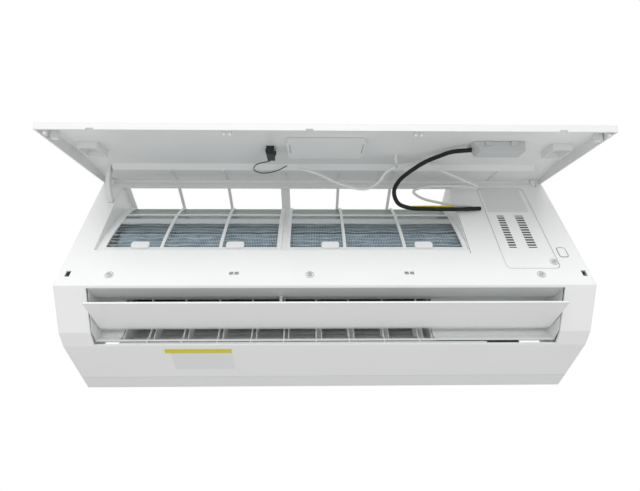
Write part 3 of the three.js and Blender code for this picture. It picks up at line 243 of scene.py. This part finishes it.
zinc = metal("zinc_plated_steel", "#c9ccce", rough=0.35, stretch=(1, 1, 1), grain=0.0009)
sheet_zinc = metal("galvanised_sheet_steel", "#b9bcbe", rough=0.45, stretch=(0.2, 1, 1), grain=0.004)
copper = metal("drawn_copper", "#c9815a", rough=0.3, stretch=(0.1, 1, 1), grain=0.001)
brass = metal("turned_brass", "#c9a35a", rough=0.28, stretch=(1, 0.2, 1), grain=0.0008)
dress(zinc, "deck_screw_1", "deck_screw_2", "deck_screw_3", "cover_screw", "fan_motor", "louvre_motor")
dress(sheet_zinc, "mounting_plate", "end_plate_left", "end_plate_right")
dress(copper, "gas_pipe", "liquid_pipe")
dress(brass, "gas_nut", "liquid_nut")

# ------------------------------------------------------------------ coils
# Three banks of thin aluminium fins with a pale blue coating. The fins stand 1.4 mm apart; they are drawn
# 2.8 mm apart, because finer lines don't show at this distance. The dark line between each two fins is
# painted shade, for the shade deep in the gaps of the coil.


def finned(name, colour, gap_shade, pitch):
    """Coated fins seen edge on: bright edges along X, dark gaps of painted shade, dull and brighter fins
    mixed.
    """
    made, tree, shader = blank_material(name)
    place = node(tree, "TexCoord").outputs["Object"]
    across = node(tree, "SeparateXYZ", {0: place})
    count = node(tree, "Math", {0: across.outputs["X"], 1: pitch}, operation="DIVIDE")
    part = node(tree, "Math", {0: count.outputs[0]}, operation="FRACT")
    # slit is 1 across the gaps between fins, which take the dark colour of painted shade
    slit = node(tree, "MapRange", {"Value": part.outputs[0], "From Min": 0.35, "From Max": 0.6})
    # random patches where some fins take a lighter blue
    patch_noise = node(tree, "TexNoise", {"Vector": place, "Scale": 60.0, "Detail": 4.0})
    brighter_share = node(tree, "MapRange", {"Value": patch_noise.outputs["Fac"], "From Min": 0.35, "From Max": 0.65,
                                   "To Min": 0.0, "To Max": 0.35})
    edge = node(tree, "Mix", data_type="RGBA")
    edge.inputs[6].default_value = linear(gap_shade)
    edge.inputs[7].default_value = linear(colour)
    tree.links.new(slit.outputs[0], edge.inputs[0])
    bright = node(tree, "Mix", data_type="RGBA")
    bright.inputs[7].default_value = linear("#c6d6de")
    tree.links.new(edge.outputs[2], bright.inputs[6])
    tree.links.new(brighter_share.outputs[0], bright.inputs[0])
    tree.links.new(bright.outputs[2], shader.inputs["Base Color"])
    bump = node(tree, "Bump", {"Height": slit.outputs[0], "Strength": 0.6, "Distance": 0.0006})
    tree.links.new(bump.outputs[0], shader.inputs["Normal"])
    shader.inputs["Roughness"].default_value = 0.42
    shader.inputs["Metallic"].default_value = 0.25
    return made


# the second, darker colour is painted shade deep between the fins
fins = finned("coated_aluminium_fins", "#9db6c4", gap_shade="#4c6674", pitch=0.0028)
dress(fins, "coil_lower", "coil_upper", "coil_rear")

# ------------------------------------------------------------------ control board
# A green fibreglass board with its parts, hidden behind the electrical cover.
board = moulded("board_green_laminate", "#2c6b44", rough=0.4, grain=0.002, depth=0.00006)
dress(board, "control_board")

# ------------------------------------------------------------------ leads
# PVC-jacketed cables between the deck and the open panel: the black display cable with its yellow sleeve,
# the two white leads and the thin black sensor wire. They are held at both ends.


def rounded_path(points, per=10):
    """A smooth line through the points: a centripetal Catmull-Rom curve, its knots spaced by the square
    root of the distances, sampled at equal steps of each span."""
    p = np.asarray(points, float)
    p = np.vstack([2 * p[0] - p[1], p, 2 * p[-1] - p[-2]])
    knots = np.concatenate([[0], np.cumsum(np.sqrt(np.linalg.norm(np.diff(p, axis=0), axis=1)))])
    spans = len(p) - 3
    i = np.repeat(np.arange(spans), per)
    share = np.tile(np.arange(per) / per, spans)
    i = np.append(i, spans - 1)
    share = np.append(share, 1.0)
    k = [knots[i + n] for n in range(4)]
    t = (k[1] + share * (k[2] - k[1]))[:, None]
    k = [v[:, None] for v in k]
    q = [p[i + n] for n in range(4)]
    a = [(k[n + 1] - t) / (k[n + 1] - k[n]) * q[n] + (t - k[n]) / (k[n + 1] - k[n]) * q[n + 1]
         for n in range(3)]
    b = [(k[n + 2] - t) / (k[n + 2] - k[n]) * a[n] + (t - k[n]) / (k[n + 2] - k[n]) * a[n + 1]
         for n in range(2)]
    return (k[2] - t) / (k[2] - k[1]) * b[0] + (t - k[1]) / (k[2] - k[1]) * b[1]


def jacket(name, path, radius, material, sides=20):
    """A closed tube round a path: each ring is a circle square to the path, turned from the last by the
    least rotation."""
    step = np.gradient(path, axis=0)
    step /= np.linalg.norm(step, axis=1)[:, None]
    side = np.zeros_like(step)
    side[0] = np.cross(step[0], (0, 0, 1))
    side[0] /= np.linalg.norm(side[0])
    for n in range(1, len(step)):
        side[n] = side[n - 1] - step[n] * np.dot(side[n - 1], step[n])
        side[n] /= np.linalg.norm(side[n])
    over = np.cross(step, side)
    turn = np.linspace(0, 2 * np.pi, sides, endpoint=False)
    ring = side[:, None] * np.cos(turn)[None, :, None] + over[:, None] * np.sin(turn)[None, :, None]
    points = (path[:, None] + radius * ring).reshape(-1, 3)
    rows = np.arange(len(path) - 1)[:, None] * sides
    here = np.arange(sides)[None, :]
    nxt = (here + 1) % sides
    quads = np.stack([rows + here, rows + nxt, rows + sides + nxt, rows + sides + here], -1).reshape(-1, 4)
    ends = [list(range(sides))[::-1], list(range((len(path) - 1) * sides, len(path) * sides))]
    return piece(name, points, [*quads.tolist(), *ends], material)


def pvc(name, colour, rough):
    """Extruded soft PVC: slight waves of gloss along it and a faint orange-peel skin 1.5 mm across."""
    made, tree, shader = blank_material(name)
    place = node(tree, "TexCoord").outputs["Object"]
    skin = node(tree, "TexNoise", {"Vector": place, "Scale": 650.0, "Detail": 2.0})
    gloss = node(tree, "MapRange", {"Value": skin.outputs["Fac"], "To Min": rough - 0.08,
                                    "To Max": rough + 0.08})
    bump = node(tree, "Bump", {"Height": skin.outputs["Fac"], "Strength": 0.25, "Distance": 0.0001})
    shader.inputs["Base Color"].default_value = linear(colour)
    shader.inputs["IOR"].default_value = 1.53
    tree.links.new(gloss.outputs[0], shader.inputs["Roughness"])
    tree.links.new(bump.outputs[0], shader.inputs["Normal"])
    return made


black_pvc = pvc("black_pvc_jacket", "#050506", rough=0.62)
white_pvc = pvc("white_pvc_jacket", "#e9eaea", rough=0.45)
yellow_pvc = pvc("yellow_pvc_sleeve", "#e0cc1c", rough=0.45)

black_route = np.array([
    (223.5, -324.6, 77.6), (197, -312, 90), (184, -301, 96), (161.6, -287, 97.9), (135.6, -268, 93.3),
    (121.5, -256, 87.3), (112.4, -246, 70.8), (119.4, -232, 59.2), (140.9, -222, 58.1), (176.9, -215, 63.5),
    (222, -209.5, 69.2), (268, -206.4, 74.7)]) / 1000
white_route = np.array([
    (-43, -276, 93.5), (-13.6, -268, 89.8), (14.1, -262, 76.5), (38.5, -258, 68.7), (63, -256, 66.1),
    (83.5, -259, 76.7), (99, -274, 88), (112, -285.4, 87.5)]) / 1000
band_route = np.array([
    (115.6, -285.4, 87.5), (139.5, -277, 106), (165.8, -273, 112), (201.4, -258, 109), (233.9, -244, 107),
    (257.4, -234, 104.7), (263.5, -229, 106), (252, -226, 109), (228, -226, 111), (201.1, -226, 111),
    (170, -225, 108.8), (153.5, -222, 101), (163.6, -217, 92), (198.5, -210, 85.5), (254, -205.6, 81)]) / 1000
yellow_route = np.array([(146, -216.8, 66.2), (176.9, -213.5, 70.6), (222, -208, 76.4)]) / 1000


# The panel's hinge line and how far it is open, in millimetres and degrees.
hinge_y = -199
hinge_z = 144.5
panel_open = 57.6


def opened(points):
    """Turns points of the shut panel, in millimetres, about its hinge line to where it is open, in metres:
    a plane rotation by the panel's angle."""
    turn = np.radians(-panel_open)
    y, z = points[:, 1] - hinge_y, points[:, 2] - hinge_z
    return np.column_stack([points[:, 0], hinge_y + y * np.cos(turn) - z * np.sin(turn),
                            hinge_z + y * np.sin(turn) + z * np.cos(turn)]) / 1000


# The sensor wire lies on the panel's inner side; its points give X and how far it is below the casing's top.
casing_top = 148.5
sensor_y = -206.5
sensor_flat = np.array([(-91, 106.4), (-99, 101), (-110, 95), (-117.3, 86.4), (-121.7, 63.6), (-109.6, 49.4),
                        (-86.5, 59.2), (-65.5, 84.4)])
sensor_route = opened(np.column_stack([sensor_flat[:, 0], np.full(len(sensor_flat), sensor_y),
                                       casing_top - sensor_flat[:, 1]]))

# Two points on each lead that crosses from the deck to the open panel. Only the names are used below:
# these leads are baked in place and are not attached to the panel or the casing.
bends = {"black_lead": ((0.2528, -0.2082, 0.0773), (0.2492, -0.3051, 0.0797)),
         "white_band": ((0.1566, -0.2102, 0.0584), (0.1574, -0.2973, 0.0874))}
for name, route, radius, jacketing, slot in (
        ("black_lead", black_route, 0.0035, black_pvc, "lead_black"),
        ("white_lead", white_route, 0.0022, white_pvc, "lead_white"),
        ("white_band", band_route, 0.0022, white_pvc, "lead_white"),
        ("yellow_lead", yellow_route, 0.0023, yellow_pvc, "lead_yellow"),
        ("sensor_lead", sensor_route, 0.0008, black_pvc, "lead_black")):
    cable = jacket(name + "_jacket", rounded_path(route), radius, jacketing)
    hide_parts(name)
    if name in bends:
        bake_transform(cable)
    elif name == "yellow_lead":
        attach(cable, "casing")
    else:
        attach(cable, "panel")
    if name == "white_lead":
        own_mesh(cable)

# ------------------------------------------------------------------ drain hose
# A ribbed grey PVC hose, clipped behind the scroll.
hose_pvc = pvc("hose_grey_pvc", "#cfd1d2", rough=0.5)
dress(hose_pvc, "drain_hose")

# ------------------------------------------------------------------ filters
# Two lift-out filters: a polypropylene frame moulded onto a curved nylon net. The net's threads stand
# about 1 mm apart; they are drawn 2.6 mm apart so that they show, with the slow beat between the threads
# and the fins behind as pale waves 9.5 mm apart. A pale strip and the green cast of the coil's upper edge
# show through the net's top.
filter_pp = moulded("filter_white_pp", "#f3f5f5", rough=0.42, grain=0.0012, depth=0.00005)
dress(filter_pp, "filter_frame_left", "filter_frame_right")


def netting(name, pitch, thread, beat):
    """Woven net on UVs in metres. pitch is the spacing of the threads, thread their share of it, and beat
    the spacing of the pale waves. Along V, a ramp gives each height its colour and how closed it looks."""
    made, tree, shader = blank_material(name)
    output = next(n for n in tree.nodes if n.type == "OUTPUT_MATERIAL")
    axes = node(tree, "SeparateXYZ", {0: node(tree, "TexCoord").outputs["UV"]})
    threads = []
    for axis in ("X", "Y"):
        count = node(tree, "Math", {0: axes.outputs[axis], 1: pitch}, operation="DIVIDE")
        part = node(tree, "Math", {0: count.outputs[0]}, operation="FRACT")
        threads.append(node(tree, "Math", {0: part.outputs[0], 1: thread}, operation="LESS_THAN"))
    woven = node(tree, "Math", {0: threads[0].outputs[0], 1: threads[1].outputs[0]}, operation="MAXIMUM")
    stretched = node(tree, "Mapping", {"Vector": node(tree, "TexCoord").outputs["UV"], "Scale": (25, 60, 1)})
    sway = node(tree, "TexNoise", {"Vector": stretched.outputs[0], "Scale": 1.0, "Detail": 4.0})
    drift = node(tree, "Math", {0: sway.outputs["Fac"], 1: 0.016, 2: axes.outputs["Y"]},
                 operation="MULTIPLY_ADD")
    phase = node(tree, "Math", {0: drift.outputs[0], 1: 2 * np.pi / beat}, operation="MULTIPLY")
    wave = node(tree, "Math", {0: phase.outputs[0]}, operation="SINE")
    pale = node(tree, "MapRange", {"Value": wave.outputs[0], "From Min": 0.1, "From Max": 1.0,
                                   "To Min": 0.0, "To Max": 0.75})
    height = node(tree, "MapRange", {"Value": axes.outputs["Y"], "From Min": 0.0, "From Max": 0.25})
    colours = node(tree, "ValToRGB", {"Fac": height.outputs[0]})
    closed = node(tree, "ValToRGB", {"Fac": height.outputs[0]})
    for ramp, stops in ((colours.color_ramp, (
            (0.0, "#dfe8ec"), (0.3, "#dce6ea"), (0.33, "#e3e8e9"), (0.38, "#e3e8e9"), (0.395, "#8d9aa2"),
            (0.43, "#aab5ba"), (0.5, "#a9b3b0"), (0.53, "#6f8d75"), (0.58, "#829b86"), (0.63, "#b7beba"))),
                        (closed.color_ramp, (
            (0.0, "#909090"), (0.02, "#404040"), (0.3, "#404040"), (0.33, "#f0f0f0"), (0.38, "#f0f0f0"),
            (0.395, "#b0b0b0"), (0.43, "#d0d0d0"), (0.5, "#e0e0e0"), (0.6, "#e0e0e0")))):
        ramp.elements[0].position = stops[0][0]
        ramp.elements[0].color = linear(stops[0][1])
        ramp.elements[1].position = stops[-1][0]
        ramp.elements[1].color = linear(stops[-1][1])
        for place, code in stops[1:-1]:
            ramp.elements.new(place).color = linear(code)
    some = node(tree, "Math", {0: woven.outputs[0], 1: pale.outputs[0], 2: closed.outputs["Color"]},
                operation="MULTIPLY_ADD")
    cover = node(tree, "Math", {0: some.outputs[0], 1: 0.97}, operation="MINIMUM")
    clear = node(tree, "BsdfTransparent")
    mix = node(tree, "MixShader", {0: cover.outputs[0], 1: clear.outputs[0], 2: shader.outputs[0]})
    tree.links.new(mix.outputs[0], output.inputs["Surface"])
    tree.links.new(colours.outputs["Color"], shader.inputs["Base Color"])
    shader.inputs["Roughness"].default_value = 0.5
    return made


net = netting("nylon_net", pitch=0.0026, thread=0.3, beat=0.0095)
net_line = np.array([(-201.5, -17.2), (-196.9, 1.9), (-191.9, 28.2), (-185.4, 55.2), (-177.7, 83.1),
                     (-168.3, 106.9), (-156.1, 128.7), (-142.8, 131.3), (-58.0, 131.7)]) / 1000


def curved_net(name, x0, x1, rows=90, columns=24):
    """A sheet along X: its section runs through net_line at even lengths; U is X and V the length along
    the section, both in metres."""
    length = np.concatenate([[0], np.cumsum(np.linalg.norm(np.diff(net_line, axis=0), axis=1))])
    along = np.linspace(0, length[-1], rows)
    y = np.interp(along, length, net_line[:, 0])
    z = np.interp(along, length, net_line[:, 1])
    x = np.linspace(x0, x1, columns)
    points = np.stack([np.tile(x, rows), np.repeat(y, columns), np.repeat(z, columns)], -1)
    i = (np.arange(rows - 1)[:, None] * columns + np.arange(columns - 1)[None, :]).reshape(-1)
    quads = np.stack([i, i + 1, i + columns + 1, i + columns], -1)
    made = piece(name, points, quads.tolist(), net)
    layer = made.data.uv_layers.new(name="weave")
    corners = np.array([loop.vertex_index for loop in made.data.loops])
    flat = np.stack([np.tile(x, rows), np.repeat(along, columns)], -1)
    layer.data.foreach_set("uv", flat[corners].astype(np.float32).reshape(-1))
    return made


for side, x0, x1 in (("left", -0.351, -0.0785), ("right", -0.0595, 0.22)):
    sheet = curved_net(f"filter_weave_{side}", x0, x1)
    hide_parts(f"filter_net_{side}")
    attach(sheet, f"filter_{side}")

# ------------------------------------------------------------------ plain stickers
# Plain paper stickers: two narrow ruled ones and a wide bare one on the electrical cover, and a bare one
# with a yellow strip under the casing.


def paper(name, colour, rule=None, spacing=0.0058, share=0.55):
    """Matte coated paper, with faint fibres. rule adds level stripes of that colour, whose spacing is in
    metres and whose width is that share of it."""
    made, tree, shader = blank_material(name)
    place = node(tree, "TexCoord").outputs["Object"]
    fibre = node(tree, "TexNoise", {"Vector": place, "Scale": 900.0, "Detail": 3.0})
    bump = node(tree, "Bump", {"Height": fibre.outputs["Fac"], "Strength": 0.2, "Distance": 0.00005})
    tree.links.new(bump.outputs[0], shader.inputs["Normal"])
    shader.inputs["Base Color"].default_value = linear(colour)
    shader.inputs["Roughness"].default_value = 0.55
    if rule:
        axes = node(tree, "SeparateXYZ", {0: place})
        count = node(tree, "Math", {0: axes.outputs["Z"], 1: spacing}, operation="DIVIDE")
        part = node(tree, "Math", {0: count.outputs[0]}, operation="FRACT")
        line = node(tree, "Math", {0: part.outputs[0], 1: share}, operation="LESS_THAN")
        ink = node(tree, "Mix", data_type="RGBA")
        ink.inputs[6].default_value = linear(colour)
        ink.inputs[7].default_value = linear(rule)
        tree.links.new(line.outputs[0], ink.inputs[0])
        tree.links.new(ink.outputs[2], shader.inputs["Base Color"])
    return made


def sticker(name, corners, material, thick=0.00012):
    """A thin plate from its four outer corners, in order, set back by its thickness along its normal."""
    corners = np.asarray(corners, float)
    normal = np.cross(corners[1] - corners[0], corners[3] - corners[0])
    normal /= np.linalg.norm(normal)
    points = np.vstack([corners, corners - normal * thick])
    faces = [(0, 1, 2, 3), (7, 6, 5, 4), (0, 4, 5, 1), (1, 5, 6, 2), (2, 6, 7, 3), (3, 7, 4, 0)]
    made = piece(name, points, faces, material, smooth=False)
    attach(made, "casing")


deck_face = -0.203
paper_proud = 0.0002


def on_deck(x0, x1, z0, z1):
    """Corners of a sticker that faces the room on the deck's upright face."""
    y = deck_face - paper_proud
    return [(x0, y, z0), (x1, y, z0), (x1, y, z1), (x0, y, z1)]


plain_paper = paper("plain_white_paper", "#ecedee")
grey_paper = paper("plain_grey_paper", "#e6e7e8")
ruled_paper = paper("ruled_paper", "#e9eaea", rule="#3a3b3c")
yellow_paper = paper("plain_yellow_paper", "#e3d53a")
sticker("sticker_narrow_1", on_deck(0.293, 0.305, -0.016, 0.06), ruled_paper)
sticker("sticker_narrow_2", on_deck(0.324, 0.338, -0.016, 0.06), ruled_paper)
sticker("sticker_wide", on_deck(0.282, 0.352, 0.069, 0.13), grey_paper)


# The casing's underside rises from near the wall to the outlet's sill: its depths there and its heights.
under_depth = (0.006, 0.1168)
under_level = (-0.1485, -0.141)


def underside(x0, x1, y0, y1):
    """Corners of a sticker under the casing: a straight slope between the underside's two edges."""
    face = [(y, np.interp(-y, under_depth, under_level) - paper_proud) for y in (y1, y0)]
    return [(x0, *face[0]), (x1, *face[0]), (x1, *face[1]), (x0, *face[1])]


sticker("sticker_under_yellow", underside(-0.251, -0.148, -0.109, -0.099), yellow_paper)
sticker("sticker_under", underside(-0.243, -0.148, -0.0985, -0.055), plain_paper)

# ------------------------------------------------------------------ seams and screw recesses
# Fine dark lines of painted shade where the button, the cover and the filter bay meet the deck, and a grey
# ring of painted shade round each screw, for its shallow moulded recess. In the real deck they are narrow
# gaps and steps.


def rounded_loop(wide, tall, radius, count=64):
    """A rounded rectangle about the origin: a circle whose quadrants are moved apart to its corners."""
    turn = (np.arange(count) + 0.5) / count * 2 * np.pi
    return np.stack([(wide / 2 - radius) * np.sign(np.cos(turn)) + radius * np.cos(turn),
                     (tall / 2 - radius) * np.sign(np.sin(turn)) + radius * np.sin(turn)], -1)


def frame_line(name, x, z, wide, tall, radius, line, material, proud=0.0003, sunk=0.0002, least=0.0002):
    """A flat closed ring on the deck, drawn as a band of that line's width round a rounded rectangle: its
    section is a rectangle carried round the loop, from sunk behind the deck's face to proud of it. least is
    its smallest inner corner."""
    outer = rounded_loop(wide, tall, radius)
    within = rounded_loop(wide - 2 * line, tall - 2 * line, max(radius - line, least))
    face, back = deck_face - proud, deck_face + sunk
    loops = [(outer, face), (within, face), (within, back), (outer, back)]
    points = np.concatenate([np.column_stack([x + p[:, 0], np.full(len(p), y), z + p[:, 1]])
                             for p, y in loops])
    count = len(outer)
    i = np.arange(4)[:, None] * count
    j = np.arange(count)[None, :]
    after, onward = (i + count) % (4 * count), (j + 1) % count
    quads = np.stack([i + j, after + j, after + onward, i + onward], -1).reshape(-1, 4)
    made = piece(name, points, quads, material, smooth=False)
    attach(made, "casing")


seam_shade = paper("seam_shadow", "#77797a")
# grey painted shade for the cover's outline and for the recesses round the screws
ring_shade = paper("painted_recess_shade", "#b9bbbc")
frame_line("button_seam", x=0.3745, z=-0.026, wide=0.0150, tall=0.0210, radius=0.0042, line=0.0008,
           material=seam_shade)
frame_line("cover_seam", x=0.3185, z=0.0365, wide=0.0844, tall=0.1924, radius=0.0083, line=0.0005,
           material=ring_shade)
recess_wide = 0.0128
screw_places = [(-0.326, -0.0715), (-0.027, -0.0715), (0.325, -0.0715), (0.354, -0.046)]
for number, (x, z) in enumerate(screw_places, 1):
    frame_line(f"screw_recess_{number}", x, z, wide=recess_wide, tall=recess_wide, radius=recess_wide / 2,
               line=0.0009, material=ring_shade)
# two thin strips of painted shadow along the edges of the cover and of the filter bay
sticker("cover_edge_seam", on_deck(0.2762, 0.277, -0.022, 0.072), seam_shade)
sticker("bay_edge_seam", on_deck(0.2272, 0.2279, -0.028, 0.062), seam_shade)
